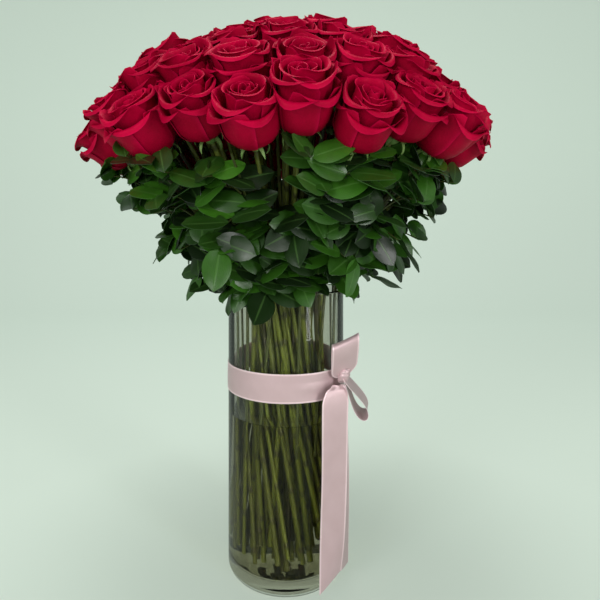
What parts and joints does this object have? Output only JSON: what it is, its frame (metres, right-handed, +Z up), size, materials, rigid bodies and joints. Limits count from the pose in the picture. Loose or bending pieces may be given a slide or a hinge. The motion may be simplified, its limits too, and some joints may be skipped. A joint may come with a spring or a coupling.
{
  "type": "roses in a vase",
  "caption": "A round bunch of red roses with a collar of leafy green sprays, standing in water in a clear glass cylinder vase that is tied with a pale pink satin ribbon",
  "frame": {"origin": "centre of the vase's underside, on the surface it stands on", "axes": "+Z up through the middle of the vase and the bunch, -Y the front of the picture, +X to its right"},
  "size_m": [0.4243, 0.4183, 0.5866],
  "materials": {
    "glass": "clear polished glass",
    "water": "clear water",
    "stem": "smooth green stems",
    "petal": "velvety crimson petals",
    "leaf": "glossy green leaves",
    "ribbon": "satin"
  },
  "bodies": {
    "root": {"vase": "glass", "water": "water", "rose_stems": "stem", "roses_crown": "petal", "roses_ring2_1": "petal", "roses_ring2_2": "petal", "roses_ring2_3": "petal", "roses_ring2_4": "petal", "roses_ring3_1": "petal", "roses_ring3_2": "petal", "roses_ring3_3": "petal", "roses_ring3_4": "petal", "roses_ring3_5": "petal", "roses_ring3_6": "petal", "roses_ring4_1": "petal", "roses_ring4_2": "petal", "roses_ring4_3": "petal", "roses_ring4_4": "petal", "roses_ring4_5": "petal", "roses_ring4_6": "petal", "roses_ring4_7": "petal", "roses_ring5_1": "petal", "roses_ring5_2": "petal", "roses_ring5_3": "petal", "roses_ring5_4": "petal", "roses_ring5_5": "petal", "roses_ring5_6": "petal", "roses_ring5_7": "petal", "roses_ring5_8": "petal", "leaf_spray_1": "leaf", "leaf_spray_2": "leaf", "leaf_spray_3": "leaf", "leaf_spray_4": "leaf", "leaf_spray_5": "leaf", "leaf_spray_6": "leaf", "leaf_spray_7": "leaf", "leaf_spray_8": "leaf", "leaf_spray_9": "leaf", "leaf_spray_10": "leaf", "leaf_spray_11": "leaf", "leaf_spray_12": "leaf", "ribbon_band": "ribbon", "ribbon_bow": "ribbon", "ribbon_tail_front": "ribbon", "ribbon_tail_back": "ribbon"}
  },
  "joints": []
}
